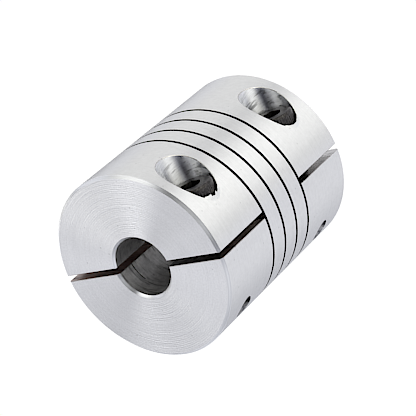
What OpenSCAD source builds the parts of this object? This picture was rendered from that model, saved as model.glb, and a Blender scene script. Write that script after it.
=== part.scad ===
// Clamping shaft coupling with one helical flexure.
// The axis of both shafts is Z, the coupling stands on the end face at z = 0, and the
// screw heads face +Y. The clamp slit lies in the XZ plane, with its open side at +X.

/* [Body] */
// Outside diameter of the coupling
body_d = 25; // [24.5:0.5:28]
// Length from end face to end face
body_len = 30; // [29:0.5:36]
// Diameter of the bore that takes the shafts
bore_d = 8; // [5:0.5:8.5]
// Bevel round the outside of each end face
rim_bevel = 0.35; // [0.1:0.05:0.6]
// Bevel round the mouth of the bore at each end face
bore_bevel = 0.3; // [0.1:0.05:0.6]

/* [Flexure] */
// Rise of the helical cut in one turn
pitch = 3; // [2.6:0.1:3.1]
// Width of the helical cut, measured along the axis
cut_w = 0.4; // [0.3:0.05:0.6]
// Whole turns of the cut between the two clamp slits
turns = 3; // [2:1:3]
// Angle between each end of the cut and the closed side of the nearest clamp slit
hinge_angle = 30; // [20:5:60]

/* [Clamp slits] */
// Width of the saw slit that lets each hub close on its shaft
slit_w = 0.8; // [0.5:0.1:1.2]
// Depth of the slit on its closed side, from the end face
hinge_depth = 9; // [7.5:0.25:9.5]

/* [Clamp screws] */
// Nominal diameter of the screw thread
screw_d = 3; // [2.5:0.1:3.2]
// Length of the screw under its head
screw_len = 10; // [8:1:12]
// Diameter of the cylindrical head
head_d = 5.5; // [4.5:0.1:5.6]
// Height of the head
head_h = 3; // [2.5:0.1:3.2]
// Bevel round the top of the head
head_bevel = 0.3; // [0.1:0.05:0.5]
// Hexagon key size across the flats
key_af = 2.5; // [1.5:0.5:2.5]
// Depth of the hexagon socket
key_depth = 1.5; // [1:0.1:1.8]
// Distance from the outside surface to the screw axis, along X
screw_wall = 4.3; // [4.1:0.1:4.5]
// Distance from the end face to the screw axis
screw_inset = 5; // [4.6:0.1:6]
// Height of the seat under the head above the plane of the slit
seat_height = 4.6; // [4:0.1:5]

/* [Fits] */
// Clearance all round the head in its counterbore
head_clearance = 0.25; // [0.15:0.05:0.4]
// Clearance all round the shank in the drilled half of the hub
shank_clearance = 0.2; // [0.1:0.05:0.3]
// Clearance all round the thread in the tapped half of the hub
thread_clearance = 0.02; // [0.01:0.01:0.05]

/* [Hidden] */
$fn = 96;
// Overlap that carries each cut clear through the surface that it opens
over = 1;
// Steps of the helical cut in one turn
steps_per_turn = 36;
body_r = body_d / 2;
bore_r = bore_d / 2;
// Distance from the shaft axis to the screw axis, along X
screw_offset = body_r - screw_wall;
// Height of the flexure on the open side of the slits, from cut to cut
flexure_h = turns * pitch;
// Depth of each slit on its open side, where it runs out into the helical cut
hub_len = (body_len - flexure_h) / 2;
// Radii between which the cut is swept, inside the bore and outside the body
cut_inner_r = bore_r - over;
cut_outer_r = body_r + over;
// Angles of the two ends of the cut, measured from the open side of the slits
cut_top_angle = 180 - hinge_angle;
cut_bottom_angle = -360 * turns - cut_top_angle;
cut_steps = ceil((cut_top_angle - cut_bottom_angle) / 360 * steps_per_turn);

// Height of the middle of the cut at a given angle
function cut_z(angle) = body_len - hub_len + pitch * angle / 360;

// Angle of one step of the cut, from its lower end to its upper end
function step_angle(step) =
    cut_bottom_angle + (cut_top_angle - cut_bottom_angle) * step / cut_steps;

// One point of the swept cut
function cut_point(radius, angle, rise) =
    [radius * cos(angle), radius * sin(angle), cut_z(angle) + rise];

// The four corners of the swept section at one step, in order round the section
function cut_section(step) =
    let (angle = step_angle(step))
    [
        cut_point(cut_inner_r, angle, -cut_w / 2),
        cut_point(cut_outer_r, angle, -cut_w / 2),
        cut_point(cut_outer_r, angle, cut_w / 2),
        cut_point(cut_inner_r, angle, cut_w / 2)
    ];

// Two triangles between corner k of one section and the same corner of the next
function side_faces(step, k) =
    let (a = 4 * step + k, b = 4 * step + (k + 1) % 4, c = a + 4, d = b + 4)
    [[a, b, d], [a, d, c]];

// The helical saw cut that leaves one continuous beam between the two hubs
module helical_cut() {
    last = 4 * cut_steps;
    points = [for (step = [0:cut_steps]) each cut_section(step)];
    sides = [for (step = [0:cut_steps - 1], k = [0:3]) each side_faces(step, k)];
    ends = [[3, 2, 1, 0], [last, last + 1, last + 2, last + 3]];
    polyhedron(points = points, faces = concat(sides, ends), convexity = 10);
}

// Half of the section of the turned blank, with the bevels at both end faces
module blank_section() {
    polygon([
        [bore_r + bore_bevel, 0],
        [body_r - rim_bevel, 0],
        [body_r, rim_bevel],
        [body_r, body_len - rim_bevel],
        [body_r - rim_bevel, body_len],
        [bore_r + bore_bevel, body_len],
        [bore_r, body_len - bore_bevel],
        [bore_r, bore_bevel]
    ]);
}

// One clamp slit, sawn from the end face at z = 0: deep on the open side, where it meets
// the helical cut, and shorter on the closed side, which stays whole as the hinge
module clamp_slit() {
    translate([0, -slit_w / 2, -over])
        cube([body_r + over, slit_w, hub_len + over]);
    translate([-body_r - over, -slit_w / 2, -over])
        cube([body_r + over + bore_r / 2, slit_w, hinge_depth + over]);
}

// Places its children on the screw axis of the lower hub, turned so that +Z is the way out
module on_screw_axis(height) {
    translate([screw_offset, 0, height])
        rotate([-90, 0, 0])
            children();
}

// The stepped hole of one clamp screw: counterbore, clearance hole and tapped hole
module screw_hole() {
    translate([0, 0, seat_height])
        cylinder(d = head_d + 2 * head_clearance, h = body_r);
    cylinder(d = screw_d + 2 * shank_clearance, h = seat_height + over);
    translate([0, 0, -body_r])
        cylinder(d = screw_d + 2 * thread_clearance, h = body_r + over);
}

// Profile of the screw from its tip to the top of its head, on the screw's own axis
module screw_profile() {
    tip_bevel = screw_d / 8;
    polygon([
        [0, seat_height - screw_len],
        [screw_d / 2 - tip_bevel, seat_height - screw_len],
        [screw_d / 2, seat_height - screw_len + tip_bevel],
        [screw_d / 2, seat_height],
        [head_d / 2, seat_height],
        [head_d / 2, seat_height + head_h - head_bevel],
        [head_d / 2 - head_bevel, seat_height + head_h],
        [0, seat_height + head_h]
    ]);
}

// One socket head cap screw, with its head on the seat
module clamp_screw(height) {
    on_screw_axis(height)
        difference() {
            rotate_extrude() screw_profile();
            translate([0, 0, seat_height + head_h - key_depth])
                cylinder(d = key_af / cos(30), h = key_depth + over, $fn = 6);
        }
}

module coupling_body() {
    color("gainsboro")
        difference() {
            rotate_extrude() blank_section();
            clamp_slit();
            translate([0, 0, body_len])
                mirror([0, 0, 1])
                    clamp_slit();
            on_screw_axis(screw_inset) screw_hole();
            on_screw_axis(body_len - screw_inset) screw_hole();
            helical_cut();
        }
}

module upper_clamp_screw() {
    color("dimgray") clamp_screw(body_len - screw_inset);
}

module lower_clamp_screw() {
    color("dimgray") clamp_screw(screw_inset);
}

coupling_body();
upper_clamp_screw();
lower_clamp_screw();
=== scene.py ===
import math

import bmesh
import bpy
import numpy as np
from mathutils import Euler, Matrix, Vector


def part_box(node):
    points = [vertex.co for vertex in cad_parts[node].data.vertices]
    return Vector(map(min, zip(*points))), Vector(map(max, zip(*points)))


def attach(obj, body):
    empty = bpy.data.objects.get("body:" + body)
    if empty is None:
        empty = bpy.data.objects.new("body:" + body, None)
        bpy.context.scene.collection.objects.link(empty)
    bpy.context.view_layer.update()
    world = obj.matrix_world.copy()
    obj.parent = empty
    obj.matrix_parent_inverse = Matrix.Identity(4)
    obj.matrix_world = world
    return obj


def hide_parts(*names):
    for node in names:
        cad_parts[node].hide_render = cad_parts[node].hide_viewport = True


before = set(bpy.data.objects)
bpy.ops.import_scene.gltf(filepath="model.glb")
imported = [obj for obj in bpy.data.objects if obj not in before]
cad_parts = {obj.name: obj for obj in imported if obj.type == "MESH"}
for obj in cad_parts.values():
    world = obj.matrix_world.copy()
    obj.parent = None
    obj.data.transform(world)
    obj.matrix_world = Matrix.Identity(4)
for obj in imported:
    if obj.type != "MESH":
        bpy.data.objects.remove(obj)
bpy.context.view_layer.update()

# Everything is modelled in millimetres, in the frame of the CAD, and goes to metres at the end.
MM = 0.001
_, high_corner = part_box("coupling_body")
BODY_R = high_corner.x / MM
BODY_LEN = high_corner.z / MM
BORE_R = 4.0
# Bevels round the end faces and round the mouths of the bore
RIM_BEVEL = 0.35
BORE_BEVEL = 0.3
# The helical cut: right-handed, three whole turns between the two clamp slits, running on at
# each end to 30 degrees short of the slit's closed side
PITCH = 3.0
CUT_W = 0.4
TURNS = 3
HINGE_ANGLE = 30
HUB_LEN = (BODY_LEN - TURNS * PITCH) / 2
# The clamp slits, which are deeper on the open side, where they meet the helical cut
SLIT_W = 0.8
HINGE_DEPTH = 9.0
# The clamp screws, M3, and their holes. The offset is from the shaft's axis to the screws' axes,
# the inset from the end faces, and the seat lies that far from the plane of the slits
SCREW_OFFSET = 8.2
SCREW_INSET = 5.0
SEAT = 4.6
SCREW_LEN = 10.0
HEAD_R = 2.75
HEAD_H = 3.0
KEY_AF = 2.5
KEY_DEPTH = 1.5
# The knurl round the head: its ridges, their depth, and the plain bands below and above it
KNURL_RIDGES = 45.0
KNURL_DEPTH = 0.09
KNURL_BELOW = 0.35
KNURL_ABOVE = 0.55
COUNTERBORE_R = 3.0
CLEARANCE_R = 1.7
TAP_DRILL_R = 1.25
# The screw's thread, and the tapped one round it, with a little room between the two
THREAD_R = 1.5
THREAD_PITCH = 0.5
CORE_R = 1.19
CREST_R = THREAD_R - 0.02
CREST_FLAT = 0.06
TAP_ROOT_R = THREAD_R + 0.02
TAP_ROOT_FLAT = 0.04
# How far a thread's form is sunk in the core or the drilled hole that it is joined to
SUNK = 0.08
SCREW_HEIGHTS = {"upper": BODY_LEN - SCREW_INSET, "lower": SCREW_INSET}
# Broken edges: of the slits and counterbores, of the helical cut, and where the tap drill came out
EDGE = 0.07
SAW_EDGE = 0.02
EXIT_EDGE = 0.04
# Ring that the boring tool left where it stopped: how deep in the bore it lies, its width and
# its depth
DWELL_AT = 2.9
DWELL_W = 0.16
DWELL_DEPTH = 0.1
# Stretch of that ring, in degrees, painted near black as the shade that falls in its groove
SHADED_FROM, SHADED_TO = 186, 224
# Parts of the body's surface, each named for its place or for the tool that left it
ZONES = ["turned", "faced", "rim", "lip", "bored", "sawn", "milled", "seat", "drilled", "tapped",
         "burr", "ring", "oiled"]
# How far a cutting tool passes through the surface that it opens
OVER = 0.5
# Facets round each round piece, and steps in one turn of each sweep
BODY_AROUND = 256
HOLE_AROUND = 128
MOUTH_AROUND = 160
SCREW_AROUND = 180
SOCKET_AROUND = 96
SAW_STEPS = 144
THREAD_STEPS = 48


def add(tree, kind, inputs=None, **settings):
    """Adds one node: its settings, then each input's value or the node or socket that feeds it."""
    node = tree.nodes.new(kind)
    for name, value in settings.items():
        setattr(node, name, value)
    for name, value in (inputs or {}).items():
        if isinstance(value, bpy.types.Node):
            tree.links.new(value.outputs[0], node.inputs[name])
        elif isinstance(value, bpy.types.NodeSocket):
            tree.links.new(value, node.inputs[name])
        else:
            node.inputs[name].default_value = value
    return node


def linear(code):
    """An sRGB hex colour as the linear values that the shaders work in."""
    values = [int(code[i:i + 2], 16) / 255 for i in (1, 3, 5)]
    return [v / 12.92 if v <= 0.04045 else ((v + 0.055) / 1.055) ** 2.4 for v in values]


def solid(name, points, faces):
    """A new object with a mesh of these points and faces."""
    mesh = bpy.data.meshes.new(name)
    mesh.from_pydata([tuple(float(c) for c in p) for p in points], [], faces)
    mesh.validate()
    made = bpy.data.objects.new(name, mesh)
    bpy.context.scene.collection.objects.link(made)
    return made


def turned(name, profile, around):
    """A solid of revolution about Z from a closed profile of (radius, height), anticlockwise."""
    points, rows = [], []
    for radius, height in profile:
        if radius == 0:
            rows.append([len(points)] * around)
            points.append((0, 0, height))
            continue
        rows.append(list(range(len(points), len(points) + around)))
        for k in range(around):
            angle = 2 * math.pi * k / around
            points.append((radius * math.cos(angle), radius * math.sin(angle), height))
    faces = []
    for i, row in enumerate(rows):
        following = rows[(i + 1) % len(rows)]
        for k in range(around):
            n = (k + 1) % around
            corners = list(dict.fromkeys([row[k], row[n], following[n], following[k]]))
            if len(corners) > 2:
                faces.append(corners)
    return solid(name, points, faces)


def prism(name, outline, low, high, along):
    """An outline drawn in the plane across one axis, run along that axis from low to high."""
    first, second = {"x": (1, 2), "y": (2, 0), "z": (0, 1)}[along]
    third = 3 - first - second
    points = []
    for level in (low, high):
        for a, b in outline:
            point = [0.0, 0.0, 0.0]
            point[first], point[second], point[third] = a, b, level
            points.append(point)
    n = len(outline)
    sides = [[k, (k + 1) % n, n + (k + 1) % n, n + k] for k in range(n)]
    return solid(name, points, [list(range(n))[::-1], list(range(n, 2 * n)), *sides])


def on_screw_axis(made, height):
    """Turns a piece made on Z so that its Z is the screw's way out, along +Y."""
    co = points_of(made.data)
    set_points(made.data, np.stack([co[:, 0] + SCREW_OFFSET, co[:, 2], height - co[:, 1]], 1))
    return made


def points_of(mesh):
    co = np.empty(len(mesh.vertices) * 3, np.float32)
    mesh.vertices.foreach_get("co", co)
    return co.reshape(-1, 3).astype(float)


def set_points(mesh, co):
    mesh.vertices.foreach_set("co", co.astype(np.float32).ravel())
    mesh.update()


def mouth(name, radius, side, height, edge=EDGE):
    """The tool that breaks the edge where a hole on a screw's axis opens in the turned surface."""
    reach = 0.3
    points = []
    for k in range(MOUTH_AROUND):
        angle = 2 * math.pi * k / MOUTH_AROUND
        for r, depth in ((radius - reach, edge + reach), (radius + edge + reach, -reach),
                         (radius - reach, -reach)):
            x = SCREW_OFFSET + r * math.cos(angle)
            surface = math.sqrt(max(BODY_R**2 - x * x, 0.0))
            points.append((x, side * (surface - depth), height + r * math.sin(angle)))
    faces = []
    for k in range(MOUTH_AROUND):
        n = (k + 1) % MOUTH_AROUND
        for c in range(3):
            d = (c + 1) % 3
            quad = [3 * k + c, 3 * k + d, 3 * n + d, 3 * n + c]
            faces.append(quad if side > 0 else quad[::-1])
    return solid(name, points, faces)


def baked(holder):
    """The holder's evaluated shape as a plain mesh, with its modifiers gone."""
    depsgraph = bpy.context.evaluated_depsgraph_get()
    mesh = bpy.data.meshes.new_from_object(holder.evaluated_get(depsgraph))
    holder.modifiers.clear()
    holder.data = mesh
    return holder


def without_chips(mesh):
    """Takes away the loose slivers that a cut leaves, and keeps the one main shell."""
    shape = bmesh.new()
    shape.from_mesh(mesh)
    left = set(shape.verts)
    shells = []
    while left:
        shell, front = set(), [left.pop()]
        while front:
            vertex = front.pop()
            shell.add(vertex)
            near = {edge.other_vert(vertex) for edge in vertex.link_edges} & left
            left -= near
            front += near
        shells.append(shell)
    largest = max(shells, key=len)
    bmesh.ops.delete(shape, geom=[v for v in shape.verts if v not in largest], context="VERTS")
    shape.to_mesh(mesh)
    shape.free()


def machined(stock, steps):
    """Takes each tool to the stock in turn: cut away, join on, or keep only what is inside."""
    for operation, tool in steps:
        step = stock.modifiers.new(tool.name, "BOOLEAN")
        step.operation = operation
        step.solver = "MANIFOLD"
        step.object = tool
    baked(stock)
    without_chips(stock.data)
    for _, tool in steps:
        bpy.data.objects.remove(tool)
    return stock


def tree_with(name, sockets):
    """A new Geometry Nodes tree with these inputs, one geometry output, and its two end nodes."""
    tree = bpy.data.node_groups.new(name, "GeometryNodeTree")
    for label, kind in sockets:
        tree.interface.new_socket(label, in_out="INPUT", socket_type=kind)
    tree.interface.new_socket("Geometry", in_out="OUTPUT", socket_type="NodeSocketGeometry")
    return tree, tree.nodes.new("NodeGroupInput"), tree.nodes.new("NodeGroupOutput")


def end_tree(tree, given, out, shape):
    """Ends a tree: the shape made real, with the material that the tree is given."""
    real = add(tree, "GeometryNodeRealizeInstances", {"Geometry": shape})
    coated = add(tree, "GeometryNodeSetMaterial", {"Geometry": real,
                                                   "Material": given.outputs["Material"]})
    tree.links.new(coated.outputs[0], out.inputs["Geometry"])
    return tree


def helix_tree():
    """A section of an outline object, swept along a right-handed helix about Z."""
    number = "NodeSocketFloat"
    tree, given, out = tree_with("helical_sweep", [
        ("Section", "NodeSocketObject"), ("Radius", number), ("Turns", number),
        ("Pitch", number), ("Start angle", number), ("Start height", number),
        ("Steps per turn", "NodeSocketInt"), ("Material", "NodeSocketMaterial")])
    rise = add(tree, "ShaderNodeMath", {0: given.outputs["Turns"], 1: given.outputs["Pitch"]},
               operation="MULTIPLY")
    path = add(tree, "GeometryNodeCurveSpiral", {
        "Resolution": given.outputs["Steps per turn"], "Rotations": given.outputs["Turns"],
        "Start Radius": given.outputs["Radius"], "End Radius": given.outputs["Radius"],
        "Height": rise, "Reverse": True})
    upright = add(tree, "GeometryNodeSetCurveNormal", {"Curve": path}, mode="Z_UP")
    section = add(tree, "GeometryNodeObjectInfo", {"Object": given.outputs["Section"]})
    swept = add(tree, "GeometryNodeCurveToMesh", {
        "Curve": upright, "Profile Curve": section.outputs["Geometry"], "Fill Caps": True})
    turn = add(tree, "ShaderNodeCombineXYZ", {"Z": given.outputs["Start angle"]})
    lift = add(tree, "ShaderNodeCombineXYZ", {"Z": given.outputs["Start height"]})
    placed = add(tree, "GeometryNodeTransform", {"Geometry": swept, "Translation": lift,
                                                 "Rotation": turn})
    return end_tree(tree, given, out, placed)


def knurl_tree():
    """Ridges along Z round a cylinder: the skin between two heights moves in and out in turn."""
    number = "NodeSocketFloat"
    tree, given, out = tree_with("straight_knurl", [
        ("Blank", "NodeSocketGeometry"), ("Ridges", number), ("Depth", number),
        ("Outer radius", number), ("From", number), ("To", number),
        ("Material", "NodeSocketMaterial")])
    place = add(tree, "GeometryNodeInputPosition")
    axes = add(tree, "ShaderNodeSeparateXYZ", {0: place})
    angle = add(tree, "ShaderNodeMath", {0: axes.outputs["Y"], 1: axes.outputs["X"]},
                operation="ARCTAN2")
    count = add(tree, "ShaderNodeMath", {0: given.outputs["Ridges"], 1: 1 / (2 * math.pi)},
                operation="MULTIPLY")
    turns = add(tree, "ShaderNodeMath", {0: angle, 1: count}, operation="MULTIPLY")
    wave = add(tree, "ShaderNodeMath", {0: turns, 1: 0.5}, operation="PINGPONG")
    inward = add(tree, "ShaderNodeMath", {0: wave, 1: given.outputs["Depth"]},
                 operation="MULTIPLY")
    flat = add(tree, "ShaderNodeCombineXYZ", {"X": axes.outputs["X"], "Y": axes.outputs["Y"]})
    radius = add(tree, "ShaderNodeVectorMath", {0: flat}, operation="LENGTH")
    outside = add(tree, "ShaderNodeMath", {0: given.outputs["Outer radius"], 1: -0.01})
    on_skin = add(tree, "ShaderNodeMath", {0: radius.outputs["Value"], 1: outside},
                  operation="GREATER_THAN")
    above = add(tree, "ShaderNodeMath", {0: axes.outputs["Z"], 1: given.outputs["From"]},
                operation="GREATER_THAN")
    below = add(tree, "ShaderNodeMath", {0: axes.outputs["Z"], 1: given.outputs["To"]},
                operation="LESS_THAN")
    between = add(tree, "ShaderNodeMath", {0: above, 1: below}, operation="MULTIPLY")
    chosen = add(tree, "ShaderNodeMath", {0: between, 1: on_skin}, operation="MULTIPLY")
    outward = add(tree, "ShaderNodeVectorMath", {0: flat}, operation="NORMALIZE")
    size = add(tree, "ShaderNodeMath", {0: inward, 1: chosen}, operation="MULTIPLY")
    back = add(tree, "ShaderNodeMath", {0: size, 1: -2.0}, operation="MULTIPLY")
    offset = add(tree, "ShaderNodeVectorMath", {0: outward, "Scale": back}, operation="SCALE")
    moved = add(tree, "GeometryNodeSetPosition", {"Geometry": given.outputs["Blank"],
                                                  "Offset": offset})
    return end_tree(tree, given, out, moved)


def grown(name, tree, values, holder=None):
    """Runs a tree with its named inputs set, and keeps the plain mesh that it makes."""
    if holder is None:
        holder = solid(name, [], [])
    modifier = holder.modifiers.new(name, "NODES")
    modifier.node_group = tree
    for item in tree.interface.items_tree:
        if item.item_type == "SOCKET" and item.in_out == "INPUT" and item.name in values:
            modifier[item.identifier] = values[item.name]
    return baked(holder)


def helical(name, outline, turns, pitch, start_angle, start_height, steps):
    """Sweeps an outline of (radius, height) along a helix that starts at the given angle."""
    middle = sum(r for r, _ in outline) / len(outline)
    curve = bpy.data.curves.new(name + "_section", "CURVE")
    curve.dimensions = "2D"
    spline = curve.splines.new("POLY")
    spline.points.add(len(outline) - 1)
    for point, (r, h) in zip(spline.points, reversed(outline)):
        point.co = (r - middle, -h, 0, 1)
    spline.use_cyclic_u = True
    section = bpy.data.objects.new(name + "_section", curve)
    bpy.context.scene.collection.objects.link(section)
    made = grown(name, helix_sweep, {
        "Section": section, "Radius": middle, "Turns": turns, "Pitch": pitch,
        "Start angle": math.radians(start_angle), "Start height": start_height,
        "Steps per turn": steps})
    bpy.data.objects.remove(section)
    return made


helix_sweep = helix_tree()
knurl = knurl_tree()


def thread_outline(inner_r, outer_r, flat):
    """A 60 degree thread form, closed inwards, as wide as flat at its outer radius."""
    rise = math.tan(math.radians(30)) * (outer_r - inner_r)
    return [(inner_r, -flat / 2 - rise), (outer_r, -flat / 2), (outer_r, flat / 2),
            (inner_r, flat / 2 + rise)]


def body_stock():
    """The turned blank, with its bevels and the ring that the boring tool left near each end."""
    outside = [(BORE_R + BORE_BEVEL, 0), (BODY_R - RIM_BEVEL, 0), (BODY_R, RIM_BEVEL),
               (BODY_R, BODY_LEN - RIM_BEVEL), (BODY_R - RIM_BEVEL, BODY_LEN),
               (BORE_R + BORE_BEVEL, BODY_LEN), (BORE_R, BODY_LEN - BORE_BEVEL)]
    ring = [(BORE_R, DWELL_W / 2), (BORE_R + DWELL_DEPTH, 0), (BORE_R, -DWELL_W / 2)]
    inside = [(r, middle + z) for middle in (BODY_LEN - DWELL_AT, DWELL_AT) for r, z in ring]
    profile = outside + inside + [(BORE_R, BORE_BEVEL)]
    return turned("clamping_coupling_body", profile, BODY_AROUND)


def burr(label, height, tallest, steps):
    """The torn lip that the counterbore's cutter raised where the wall beside it is thinnest."""
    chance = np.random.default_rng(steps)
    # It runs round the counterbore between two angles, in steps of one height each
    start, end = -36, 30
    count = 67
    angles = np.linspace(start, end, count)
    half_way = (start + end) / 2
    swell = np.cos((angles - half_way) / (end - half_way) * math.pi / 2).clip(0.02) ** 0.6
    levels = chance.uniform(0.45, 1.1, steps)[np.arange(count) * steps // count]
    rises = tallest * swell * levels * chance.uniform(0.9, 1.1, count)
    # Its section leans outwards as it rises. Its foot, with no height, is sunk in the metal
    near, far = 0.02, 0.18
    sunk = 0.25
    points = []
    for angle, rise in zip(np.radians(angles), rises):
        brink = math.sqrt(BODY_R**2 - (SCREW_OFFSET + COUNTERBORE_R * math.cos(angle))**2)
        for r, up in ((near, None), (near, 0.0), (near + 0.1 * rise, rise),
                      (0.08 + 0.15 * rise, rise - 0.01), (far, None)):
            x = SCREW_OFFSET + (COUNTERBORE_R + r) * math.cos(angle)
            y = math.sqrt(BODY_R**2 - x * x) - sunk if up is None else brink + up
            points.append((x, y, height + (COUNTERBORE_R + r) * math.sin(angle)))
    corners = len(points) // count
    faces = [list(range(corners)), list(range(len(points) - corners, len(points)))[::-1]]
    for k in range(count - 1):
        here, there = corners * k, corners * (k + 1)
        for c in range(corners):
            d = (c + 1) % corners
            faces.append([here + d, here + c, there + c, there + d])
    lip = solid(f"burr_{label}", points, faces)
    shape = bmesh.new()
    shape.from_mesh(lip.data)
    bmesh.ops.recalc_face_normals(shape, faces=shape.faces)
    shape.to_mesh(lip.data)
    shape.free()
    return lip


def helical_saw():
    """The saw's path round the body, with the broken edges at the outside and in the bore."""
    half, flare = CUT_W / 2, CUT_W / 2 + SAW_EDGE + OVER
    outline = [(BORE_R - OVER, -flare), (BORE_R + SAW_EDGE, -half), (BODY_R - SAW_EDGE, -half),
               (BODY_R + OVER, -flare), (BODY_R + OVER, flare), (BODY_R - SAW_EDGE, half),
               (BORE_R + SAW_EDGE, half), (BORE_R - OVER, flare)]
    lowest = -360 * TURNS - 180 + HINGE_ANGLE
    turns = TURNS + 1 - HINGE_ANGLE / 180
    height = BODY_LEN - HUB_LEN + PITCH * lowest / 360
    return helical("helical_saw", outline, turns, PITCH, lowest, height, SAW_STEPS)


def slit_tools(end, label):
    """The saw and the deburring tools of one hub's slit. end is the height of its end face."""
    half = SLIT_W / 2
    deep = half + EDGE
    wide = deep + OVER
    inward = -1 if end > 0 else 1
    tools = []
    for side, depth in ((1, HUB_LEN), (-1, HINGE_DEPTH)):
        low, high = sorted((end - inward * OVER, end + inward * depth))
        reach = sorted((side * (BODY_R + OVER), -side * BORE_R / 2))
        wall = [(reach[0], -half), (reach[1], -half), (reach[1], half), (reach[0], half)]
        tools.append(prism(f"slit_{label}_{side}", wall, low, high, "z"))
        rim = math.sqrt(BODY_R**2 - half**2)
        tip, back = rim - deep, rim + OVER
        edge = [(side * tip, 0), (side * back, -side * wide), (side * back, side * wide)]
        tools.append(prism(f"slit_rim_{label}_{side}", edge, low, high, "z"))
        lip = math.sqrt(BORE_R**2 - half**2)
        tip, back = lip + deep, lip - OVER
        edge = [(side * tip, 0), (side * back, side * wide), (side * back, -side * wide)]
        tools.append(prism(f"slit_bore_{label}_{side}", edge, low, high, "z"))
    apex, back = end + inward * deep, end - inward * OVER
    edge = [(0, apex), (-inward * wide, back), (inward * wide, back)]
    tools.append(prism(f"slit_face_{label}", edge, -BODY_R - OVER, BODY_R + OVER, "x"))
    return tools


def hole_tools(label, height):
    """Drill, counterbore, tap and deburring tools of one clamp screw's hole."""
    past = BODY_R + OVER
    half = SLIT_W / 2
    # The countersink where the tap goes in
    lead = 0.3
    stepped = turned(f"drill_{label}", [
        (0, -past), (TAP_DRILL_R, -past), (TAP_DRILL_R, -half - lead),
        (TAP_DRILL_R + lead, -half), (CLEARANCE_R, -half), (CLEARANCE_R, SEAT),
        (COUNTERBORE_R, SEAT), (COUNTERBORE_R, past), (0, past)], HOLE_AROUND)
    form = thread_outline(TAP_DRILL_R - SUNK, TAP_ROOT_R, TAP_ROOT_FLAT)
    # The tap goes in from the slit, past the screw's tip, and leaves the rest as it was drilled
    turns = math.ceil((SCREW_LEN - SEAT + lead) / THREAD_PITCH)
    tap = helical(f"tap_{label}", form, turns, THREAD_PITCH, 0, -half - turns * THREAD_PITCH,
                  THREAD_STEPS)
    return [on_screw_axis(stepped, height), on_screw_axis(tap, height),
            mouth(f"mouth_{label}", COUNTERBORE_R, 1, height),
            mouth(f"exit_{label}", TAP_DRILL_R, -1, height, EXIT_EDGE)]


def coupling_body():
    """The one-piece body: turned, sawn, drilled and tapped, with a burr at each counterbore."""
    tools = [helical_saw()]
    for label, height in SCREW_HEIGHTS.items():
        tools += slit_tools(BODY_LEN if label == "upper" else 0.0, label)
        tools += hole_tools(label, height)
    steps = [("DIFFERENCE", tool) for tool in tools]
    steps.append(("UNION", burr("upper", SCREW_HEIGHTS["upper"], 0.6, 11)))
    steps.append(("UNION", burr("lower", SCREW_HEIGHTS["lower"], 0.4, 5)))
    return machined(body_stock(), steps)


def screw_head(label, top):
    """The head: a straight knurl round its side, and a rounded rim."""
    low, high = SEAT + KNURL_BELOW, top - KNURL_ABOVE
    bevel = 0.12
    rounding = ((0.0, 0.28), (0.05, 0.16), (0.16, 0.05), (0.28, 0.0))
    rim = [(HEAD_R - inward, top - down) for inward, down in rounding]
    # The ridges fade out over the height of one slope, from one row of points to the next
    slope = 0.12
    within = 0.05
    head = turned(f"{label}_head", [
        (0, SEAT), (HEAD_R - bevel, SEAT), (HEAD_R, SEAT + bevel), (HEAD_R, low),
        (HEAD_R, low + slope), (HEAD_R, high - slope), (HEAD_R, high), *rim, (0, top)],
        SCREW_AROUND)
    return grown("knurl", knurl, {
        "Ridges": KNURL_RIDGES, "Depth": KNURL_DEPTH, "Outer radius": HEAD_R,
        "From": low + within, "To": high - within}, head)


def socket_tools(label, top):
    """The hexagon broach, the drill that went in before it, and the countersink at the mouth."""
    key_r = KEY_AF / 2 / math.cos(math.radians(30))
    corners = [(key_r * math.cos(math.radians(60 * k)), key_r * math.sin(math.radians(60 * k)))
               for k in range(6)]
    # The broach stops a little short of the bottom, and the drill's cone goes past it
    bottom = top - KEY_DEPTH
    stop = bottom + 0.15
    cone_tip, cone_top = bottom - 0.25, bottom + 0.3
    drill_r = KEY_AF / 2 - 0.05
    lead_tip = top - 0.9
    lead_r = key_r + 0.12
    socket = prism(f"{label}_socket", corners, stop, top + OVER, "z")
    drilled = turned(f"{label}_drilled", [
        (0, cone_tip), (drill_r, cone_top), (drill_r, top), (0, top)], SOCKET_AROUND)
    lead_in = turned(f"{label}_lead_in", [
        (0, lead_tip), (lead_r + OVER, top + OVER), (0, top + OVER)], SOCKET_AROUND)
    return [socket, drilled, lead_in]


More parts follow.
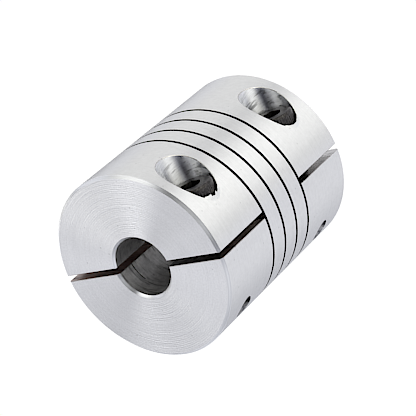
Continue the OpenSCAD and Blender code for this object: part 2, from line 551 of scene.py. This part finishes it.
def cap_screw(label, height):
    """One socket head cap screw: its core, the thread round it, its head, and the socket."""
    tip = SEAT - SCREW_LEN
    top = SEAT + HEAD_H
    threaded_to = SEAT - THREAD_PITCH
    # The plain neck above the thread, and the slope from it into the head
    neck_r = THREAD_R - 0.05
    runout = 0.3
    flare = 0.1
    in_head = SEAT + 0.5
    core = turned(f"{label}_socket_head_screw", [
        (0, tip), (CORE_R, tip), (CORE_R, threaded_to), (neck_r, threaded_to + runout),
        (neck_r, SEAT - flare), (THREAD_R + flare, SEAT + flare / 2),
        (THREAD_R + flare, in_head), (0, in_head)], SCREW_AROUND)
    # The thread starts past the tip, and keeps step with the tapped one
    half = SLIT_W / 2
    first = -half - math.ceil((-half - tip) / THREAD_PITCH + 1) * THREAD_PITCH
    turns = math.ceil((threaded_to - first) / THREAD_PITCH)
    form = thread_outline(CORE_R - SUNK, CREST_R, CREST_FLAT)
    ridge = helical(f"{label}_ridge", form, turns, THREAD_PITCH, 0, first, THREAD_STEPS)
    # What lies outside this envelope goes: the thread's start, and its ridge at the tip's chamfer
    clear = 0.1
    chamfer = 0.4
    envelope = turned(f"{label}_envelope", [
        (0, tip), (CORE_R - clear, tip), (CREST_R + clear, tip + chamfer),
        (CREST_R + clear, threaded_to + clear), (HEAD_R + OVER, threaded_to + clear),
        (HEAD_R + OVER, top + OVER), (0, top + OVER)], SCREW_AROUND)
    steps = [("UNION", ridge), ("INTERSECT", envelope), ("UNION", screw_head(label, top))]
    steps += [("DIFFERENCE", tool) for tool in socket_tools(label, top)]
    return on_screw_axis(machined(core, steps), height)


def zones_of(mesh):
    """Sorts the body's faces by the tool that left them, from where they lie and how they face."""
    # How near a face lies to the place of a zone, and how squarely it has to face. The bevels,
    # the tapped holes and the burrs have limits of their own
    close = 0.02
    square = 0.99
    slanted = 0.6
    tap_reach = 0.3
    burr_middle, burr_reach = 0.1, 0.3
    count = len(mesh.polygons)
    middle = np.empty(count * 3)
    facing = np.empty(count * 3)
    mesh.polygons.foreach_get("center", middle)
    mesh.polygons.foreach_get("normal", facing)
    x, y, z = middle.reshape(-1, 3).T
    nx, ny, nz = facing.reshape(-1, 3).T
    radius = np.hypot(x, y)
    outward = (x * nx + y * ny) / radius
    from_end = np.minimum(z, BODY_LEN - z)
    zone = np.full(count, ZONES.index("sawn"))
    zone[(np.abs(radius - BODY_R) < close) & (outward > square)] = ZONES.index("turned")
    zone[(from_end < close) & (np.abs(nz) > square)] = ZONES.index("faced")
    bevelled = (from_end < RIM_BEVEL) & (np.abs(np.abs(nz) - math.sqrt(0.5)) < close)
    zone[bevelled & (outward > slanted) & (radius > BODY_R - RIM_BEVEL)] = ZONES.index("rim")
    zone[bevelled & (outward < -slanted) & (radius < BORE_R + BORE_BEVEL)] = ZONES.index("lip")
    zone[(np.abs(radius - BORE_R) < close) & (outward < -square)] = ZONES.index("bored")
    for height in SCREW_HEIGHTS.values():
        dx, dz = x - SCREW_OFFSET, z - height
        off_axis = np.hypot(dx, dz)
        inward = -(dx * nx + dz * nz) / np.maximum(off_axis, close)
        wall = inward > square
        zone[wall & (np.abs(off_axis - COUNTERBORE_R) < close) & (y > SEAT)] = ZONES.index("milled")
        zone[(off_axis < COUNTERBORE_R) & (np.abs(y - SEAT) < close) & (ny > square)] = \
            ZONES.index("seat")
        # The drilled and tapped holes take the finish whose darker grey and dark tears are painted
        # shade
        zone[wall & (np.abs(off_axis - CLEARANCE_R) < close) & (y > 0)] = ZONES.index("drilled")
        skin = zone == ZONES.index("turned")
        zone[(off_axis < THREAD_R + tap_reach) & (y < -SLIT_W / 2) & ~skin] = ZONES.index("tapped")
        by_mouth = np.abs(off_axis - COUNTERBORE_R - burr_middle) < burr_reach
        sawn = zone == ZONES.index("sawn")
        zone[sawn & by_mouth & (y > SEAT) & (x > SCREW_OFFSET)] = ZONES.index("burr")
    sawn = zone == ZONES.index("sawn")
    zone[sawn & (np.abs(y) < SLIT_W / 2 + close) & (z > BODY_LEN - HUB_LEN)] = \
        ZONES.index("oiled")
    turn = np.degrees(np.arctan2(y, x)) % 360
    in_ring = (np.abs(from_end - DWELL_AT) < DWELL_W / 2) & (radius < BORE_R + DWELL_DEPTH)
    zone[in_ring] = ZONES.index("bored")
    # Painted shade: the stretch of the ring where its groove is in shade gets the near-black finish
    zone[in_ring & (turn > SHADED_FROM) & (turn < SHADED_TO)] = ZONES.index("ring")
    return zone


def exact_normals(mesh, zone):
    """Gives each curved zone the normals of its true surface, so that its facets never show."""
    co = points_of(mesh)
    corners = np.empty(len(mesh.loops), np.int32)
    mesh.loops.foreach_get("vertex_index", corners)
    facing = np.empty(len(mesh.polygons) * 3)
    mesh.polygons.foreach_get("normal", facing)
    totals = np.empty(len(mesh.polygons), np.int32)
    mesh.polygons.foreach_get("loop_total", totals)
    face_of = np.repeat(np.arange(len(mesh.polygons)), totals)
    normals = facing.reshape(-1, 3)[face_of]
    at = co[corners]
    zone_at = zone[face_of]
    radial = at * (1, 1, 0) / np.maximum(np.hypot(at[:, 0], at[:, 1]), 0.001)[:, None]
    endward = np.where(at[:, 2] > BODY_LEN / 2, 1.0, -1.0)[:, None] * (0, 0, 1)
    screw_z = np.where(at[:, 2] > BODY_LEN / 2, SCREW_HEIGHTS["upper"], SCREW_HEIGHTS["lower"])
    across = np.stack([at[:, 0] - SCREW_OFFSET, 0 * screw_z, at[:, 2] - screw_z], 1)
    across /= np.maximum(np.linalg.norm(across, axis=1), 0.001)[:, None]
    slope = math.sqrt(0.5)
    true = {"turned": radial, "bored": -radial, "milled": -across, "drilled": -across,
            "rim": slope * (radial + endward), "lip": slope * (endward - radial)}
    for name, direction in true.items():
        here = zone_at == ZONES.index(name)
        normals[here] = direction[here]
    mesh.polygons.foreach_set("use_smooth", [True] * len(mesh.polygons))
    mesh.normals_split_custom_set(normals.tolist())


# Breadth of the patches of wear, and distance between the specks of dirt
WEAR_MM = 2.5
SPECK_GAP_MM = 1.6


def shine_left(tree, place, marks_at, marks, torn, shade, mottle, cloud_mm, specks):
    """Dust and oxide lie in the marks and take a little of the shine, most of all where it tore."""
    contrast = add(tree, "ShaderNodeMapRange", {"Value": marks.outputs[0], "From Min": 0.35,
                                                "From Max": 0.65, "To Min": 1 - shade})
    tears_at = add(tree, "ShaderNodeVectorMath", {0: marks_at, 1: (0.7, 0.7, 0.4)},
                   operation="MULTIPLY")
    tears = add(tree, "ShaderNodeTexNoise", {"Vector": tears_at, "Scale": 1.0, "Detail": 3.0})
    tear = add(tree, "ShaderNodeMapRange", {"Value": tears.outputs[0], "From Min": 0.54,
                                            "From Max": 0.66, "To Min": 1.0,
                                            "To Max": 1 - torn})
    clouds = add(tree, "ShaderNodeTexNoise", {"Vector": place, "Scale": 1 / (cloud_mm * MM),
                                              "Detail": 4.0, "Roughness": 0.7})
    cloud = add(tree, "ShaderNodeMapRange", {"Value": clouds.outputs[0], "From Min": 0.35,
                                             "From Max": 0.65, "To Min": 1 - mottle})
    # A few tiny pits and specks of dirt, each a fifth of a millimetre across
    dots = add(tree, "ShaderNodeTexVoronoi", {"Vector": place, "Scale": 1 / (SPECK_GAP_MM * MM)})
    dot = add(tree, "ShaderNodeMapRange", {"Value": dots.outputs["Distance"], "From Min": 0.04,
                                           "From Max": 0.09, "To Min": 1 - specks})
    marked = add(tree, "ShaderNodeMath", {0: contrast, 1: tear}, operation="MULTIPLY")
    clouded = add(tree, "ShaderNodeMath", {0: marked, 1: cloud}, operation="MULTIPLY")
    return add(tree, "ShaderNodeMath", {0: clouded, 1: dot}, operation="MULTIPLY")


def cut_metal(name, colour, roughness, anisotropic, lay, mark_mm, depth_mm, slow_mm=4.0,
              patch=0.03, slope=0.0, torn=0.0, shade=0.06, mottle=0.0, cloud_mm=0.6,
              feed_mm=0.4, feed_depth_mm=0.0, specks=0.0):
    """A metal cut by a tool. lay is the way across its tool marks: "z", "y" or "radius".

    A mark is mark_mm wide and depth_mm deep, and runs on for slow_mm or so. The sheen is drawn
    out across the marks by anisotropic, its roughness goes up and down by patch, and the surface
    leans by slope. The tool's feed leaves rings feed_mm apart and feed_depth_mm deep. torn,
    shade, mottle and specks say how much darker the torn places, the marks, the clouds of oxide
    and the specks of dirt are, and cloud_mm how broad a cloud is.
    """
    material = bpy.data.materials.new(name)
    material.use_nodes = True
    tree = material.node_tree
    tree.nodes.clear()
    place = add(tree, "ShaderNodeTexCoord").outputs["Object"]
    axes = add(tree, "ShaderNodeSeparateXYZ", {0: place})
    flat = add(tree, "ShaderNodeCombineXYZ", {"X": axes.outputs["X"], "Y": axes.outputs["Y"]})
    radius = add(tree, "ShaderNodeVectorMath", {0: flat}, operation="LENGTH").outputs["Value"]
    across = {"z": axes.outputs["Z"], "y": axes.outputs["Y"], "radius": radius}[lay]
    # Each mark runs on along the cut for millimetres, and is a fraction of one wide
    slow = add(tree, "ShaderNodeVectorMath", {0: place, "Scale": 1 / (slow_mm * MM)},
               operation="SCALE")
    fast = add(tree, "ShaderNodeMath", {0: across, 1: 1 / (mark_mm * MM)}, operation="MULTIPLY")
    lifted = add(tree, "ShaderNodeCombineXYZ", {"Z": fast})
    marks_at = add(tree, "ShaderNodeVectorMath", {0: slow, 1: lifted}, operation="ADD")
    marks = add(tree, "ShaderNodeTexNoise", {"Vector": marks_at, "Scale": 1.0, "Detail": 2.0,
                                             "Roughness": 0.55})
    patches = add(tree, "ShaderNodeTexNoise", {"Vector": place, "Scale": 1 / (WEAR_MM * MM),
                                               "Detail": 3.0})
    wear = add(tree, "ShaderNodeMapRange", {"Value": patches.outputs[0],
                                            "To Min": roughness - patch,
                                            "To Max": roughness + patch})
    # A lean of the whole surface, as a facing tool leaves when its marks are steeper on one side
    lean = add(tree, "ShaderNodeMath", {0: radius, 1: -slope}, operation="MULTIPLY")
    # The regular rings of the tool's feed, drawn coarser than a fine feed so that they show
    feed = add(tree, "ShaderNodeMath", {0: across, 1: 2 * math.pi / (feed_mm * MM)},
               operation="MULTIPLY")
    rings = add(tree, "ShaderNodeMath", {0: feed}, operation="SINE")
    ringed = add(tree, "ShaderNodeMath", {0: rings, 1: feed_depth_mm * MM, 2: lean},
                 operation="MULTIPLY_ADD")
    height = add(tree, "ShaderNodeMath", {0: marks.outputs[0], 1: depth_mm * MM, 2: ringed},
                 operation="MULTIPLY_ADD")
    bump = add(tree, "ShaderNodeBump", {"Height": height, "Strength": 1.0, "Distance": 1.0})
    if lay == "radius":
        grain = add(tree, "ShaderNodeVectorMath", {0: flat}, operation="NORMALIZE")
    else:
        grain = add(tree, "ShaderNodeCombineXYZ", {lay.upper(): 1.0})
    shine = shine_left(tree, place, marks_at, marks, torn, shade, mottle, cloud_mm, specks)
    skin = add(tree, "ShaderNodeVectorMath", {0: linear(colour), "Scale": shine},
               operation="SCALE")
    metal = add(tree, "ShaderNodeBsdfPrincipled", {
        "Base Color": skin, "Metallic": 1.0, "Roughness": wear, "Normal": bump,
        "Anisotropic": anisotropic, "Tangent": grain})
    add(tree, "ShaderNodeOutputMaterial", {"Surface": metal})
    return material


FINISHES = {
    # Fine turned with a sharp tool: satin, with a soft sheen drawn out along the axis
    "turned": cut_metal("turned_aluminium_outside", "#F0F0F0", 0.36, 0.93, "z", 0.14, 0.004,
                        shade=0.04, mottle=0.05, specks=0.15),
    # Faced across the end: rings round the bore, and a sheen in two opposite fans
    "faced": cut_metal("faced_aluminium_end", "#EEEEEF", 0.30, 1.0, "radius", 0.22, 0.04,
                       slow_mm=5.0, slope=0.06, shade=0.04, mottle=0.08, cloud_mm=0.25,
                       feed_mm=0.25, feed_depth_mm=0.0045, specks=0.2),
    # Turned bevels: a bright, narrow line round each end face and round the mouth of the bore
    "rim": cut_metal("turned_aluminium_bevel", "#F0F1F3", 0.34, 0.7, "radius", 0.1, 0.001,
                     slow_mm=8.0, shade=0.2),
    # Bored: rings round the wall, where a worn tool has torn now and then
    "bored": cut_metal("bored_aluminium", "#F0EFEE", 0.32, 0.85, "z", 0.3, 0.012, slow_mm=2.5,
                       torn=0.5, shade=0.15, mottle=0.35, cloud_mm=1.2),
    # Sawn: plain grey walls with a few torn marks
    "sawn": cut_metal("sawn_aluminium", "#CCCAC8", 0.22, 0.0, "z", 0.3, 0.006, slow_mm=2.0,
                      torn=0.4, shade=0.2),
    # Brown cutting oil has stayed in the upper slit
    "oiled": cut_metal("sawn_aluminium_with_oil", "#C0B0A9", 0.4, 0.0, "z", 0.3, 0.004,
                       slow_mm=2.0, torn=0.5, shade=0.3),
    # Counterbored: coarse feed rings, torn in short dashes
    "milled": cut_metal("milled_aluminium_counterbore", "#F5F6F8", 0.35, 0.93, "y", 0.25, 0.012,
                        slow_mm=0.8, torn=0.55, shade=0.15),
    # Drilled and tapped: coarse marks, on a darker grey with heavy dark tears that are painted
    # shade in the holes
    "tapped": cut_metal("tapped_aluminium_painted_shade", "#B4B4B6", 0.3, 0.0, "y", 0.3, 0.03, slow_mm=2.0,
                        torn=0.85, shade=0.4, mottle=0.4, cloud_mm=0.4),
    # Painted shade: this stretch of the ring is painted near black where its groove lies in shade
    "ring": cut_metal("painted_shade_in_the_ring", "#4C4A49", 0.6, 0.0, "z", 0.3, 0.001),
    # The burr is bright, freshly torn metal
    "burr": cut_metal("torn_aluminium_burr", "#F6F6F4", 0.3, 0.0, "y", 0.2, 0.004),
}
# Zones that look like another one
FINISH_OF = {"lip": "rim", "seat": "milled", "drilled": "tapped"}
# Black oxide on steel: a dull, dark skin that handling has rubbed paler in places
BLACKENED = cut_metal("black_oxide_steel", "#5E5B5A", 0.34, 0.0, "y", 0.2, 0.005, patch=0.08,
                      slow_mm=0.2, shade=0.5, mottle=0.6, cloud_mm=0.25)


def finished(piece, node):
    """Takes a piece from millimetres to metres, and puts it in the place of its CAD node."""
    piece.data.transform(Matrix.Scale(MM, 4))
    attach(piece, "root")
    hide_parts(node)


body = coupling_body()
screws = {label: cap_screw(label, height) for label, height in SCREW_HEIGHTS.items()}
# Each zone of the body gets the finish and the normals that its tool left
zone = zones_of(body.data)
names = list(FINISHES)
body.data.materials.clear()
for name in names:
    body.data.materials.append(FINISHES[name])
finish_index = np.array([names.index(FINISH_OF.get(name, name)) for name in ZONES])
body.data.polygons.foreach_set("material_index", finish_index[zone].astype(np.int32))
exact_normals(body.data, zone)
finished(body, "coupling_body")
# The screws look round, with sharp edges where their faces turn by more than this many degrees
SHARP_FROM = 28
for label, screw in screws.items():
    screw.data.materials.clear()
    screw.data.materials.append(BLACKENED)
    screw.data.shade_smooth()
    screw.data.set_sharp_from_angle(angle=math.radians(SHARP_FROM))
    finished(screw, f"{label}_clamp_screw")


def floor():
    """A plain white table. It stays out of the reflections: the light there is the studio's."""
    half = 2.0
    corners = [(-half, -half, 0), (half, -half, 0), (half, half, 0), (-half, half, 0)]
    table = solid("floor", corners, [[0, 1, 2, 3]])
    material = bpy.data.materials.new("white_table")
    material.use_nodes = True
    tree = material.node_tree
    tree.nodes.clear()
    matt = add(tree, "ShaderNodeBsdfDiffuse", {"Color": (0.05, 0.05, 0.05, 1)})
    glow = add(tree, "ShaderNodeEmission", {"Color": (1, 1, 1, 1), "Strength": 1.0})
    both = add(tree, "ShaderNodeAddShader", {0: matt, 1: glow})
    add(tree, "ShaderNodeOutputMaterial", {"Surface": both})
    table.data.materials.append(material)
    table.visible_glossy = False
    table.visible_diffuse = False
    table.visible_shadow = False


# The light tent's own level, and the tints of its cloth and of what is in it
TENT = 0.88
PLAIN = (1.0, 1.0, 1.0)
COOL = (0.99, 1.0, 1.05)
BLUE = (0.97, 1.0, 1.18)
WARM = (1.0, 1.0, 0.955)
# The soft cards and dark gaps in the tent. Each has its compass bearing, its height above the
# horizon, half its width, half its height and the width of its soft edge in degrees, how much
# light it adds or takes, and its tint
CARDS = [
    ("low side of the tent", 60, 0, 60, 25, 10, -0.47, BLUE),
    ("strip light", 35, 15, 0, 10, 55, 2.36, WARM),
    ("gap round the camera", 30, 45, 35, 0, 35, -1.48, WARM),
    ("gap beside the camera", 45, 35, 20, 30, 15, -1.10, WARM),
    ("tall side card", 100, 20, 15, 35, 12, 0.70, WARM),
    ("open side of the tent", -115, -5, 25, 10, 40, -1.20, PLAIN),
    ("back card", 175, 25, 5, 30, 10, 1.65, PLAIN),
    ("fold in the tent", 175, 0, 5, 45, 15, -1.20, COOL),
    ("far side card", -125, -5, 40, 0, 35, 1.38, PLAIN),
    ("top of the tent", 75, 65, 80, 15, 15, -0.12, BLUE),
]


def span(tree, angle, middle, half, soft):
    """One where an angle is within half a span of its middle, fading to nothing past its edge."""
    past = add(tree, "ShaderNodeMath", {0: angle, 1: float(middle)}, operation="SUBTRACT")
    shortest = add(tree, "ShaderNodeMath", {0: past, 1: 180.0, 2: -180.0}, operation="WRAP")
    apart = add(tree, "ShaderNodeMath", {0: shortest}, operation="ABSOLUTE")
    return add(tree, "ShaderNodeMapRange", {
        "Value": apart, "From Min": half + soft, "From Max": half},
        interpolation_type="SMOOTHSTEP")


def studio():
    """Soft light from all round, as in a light tent: each card is a soft-edged patch of it."""
    world = bpy.data.worlds.new("light_tent")
    bpy.context.scene.world = world
    world.use_nodes = True
    tree = world.node_tree
    tree.nodes.clear()
    way = add(tree, "ShaderNodeTexCoord").outputs["Generated"]
    axes = add(tree, "ShaderNodeSeparateXYZ", {0: way})
    turn = add(tree, "ShaderNodeMath", {0: axes.outputs["Y"], 1: axes.outputs["X"]},
               operation="ARCTAN2")
    compass = add(tree, "ShaderNodeMath", {0: turn}, operation="DEGREES")
    lift = add(tree, "ShaderNodeMath", {0: axes.outputs["Z"]}, operation="ARCSINE")
    height = add(tree, "ShaderNodeMath", {0: lift}, operation="DEGREES")
    light = tuple(TENT * tint for tint in COOL)
    for _, at, up, half_width, half_height, soft, level, tint in CARDS:
        across = span(tree, compass, at, half_width, soft)
        along = span(tree, height, up, half_height, soft)
        patch = add(tree, "ShaderNodeMath", {0: across, 1: along}, operation="MULTIPLY")
        light = add(tree, "ShaderNodeVectorMath", {
            0: patch, 1: tuple(level * t for t in tint), 2: light}, operation="MULTIPLY_ADD")
    lit = add(tree, "ShaderNodeVectorMath", {0: light, 1: (0.0, 0.0, 0.0)}, operation="MAXIMUM")
    glow = add(tree, "ShaderNodeBackground", {"Color": lit, "Strength": 1.0})
    add(tree, "ShaderNodeOutputWorld", {"Surface": glow})


def sharpened():
    """The slight sharpening that a camera gives its pictures."""
    scene = bpy.context.scene
    scene.use_nodes = True
    tree = scene.node_tree
    tree.nodes.clear()
    picture = add(tree, "CompositorNodeRLayers")
    crisp = add(tree, "CompositorNodeFilter", {"Fac": 0.075, "Image": picture.outputs["Image"]},
                filter_type="SHARPEN")
    add(tree, "CompositorNodeComposite", {"Image": crisp})


# The camera's lens in millimetres, its place in metres and its turns about X, Y and Z in degrees
LENS = 156.38
CAMERA_AT = (0.144486, 0.065966, 0.182768)
CAMERA_TURNS = (-32.2347, 30.6052, -26.5472)


def camera():
    """A long lens from above and in front of the open side of the slits."""
    data = bpy.data.cameras.new("camera")
    data.sensor_width = 36.0
    data.lens = LENS
    data.clip_start = 0.01
    made = bpy.data.objects.new("camera", data)
    bpy.context.scene.collection.objects.link(made)
    made.location = CAMERA_AT
    made.rotation_euler = Euler([math.radians(turn) for turn in CAMERA_TURNS])
    bpy.context.scene.camera = made


floor()
studio()
camera()
sharpened()
bpy.context.scene.view_settings.view_transform = "Standard"
# Light has to find its way out of the deep slits and the counterbores
bpy.context.scene.cycles.glossy_bounces = 12
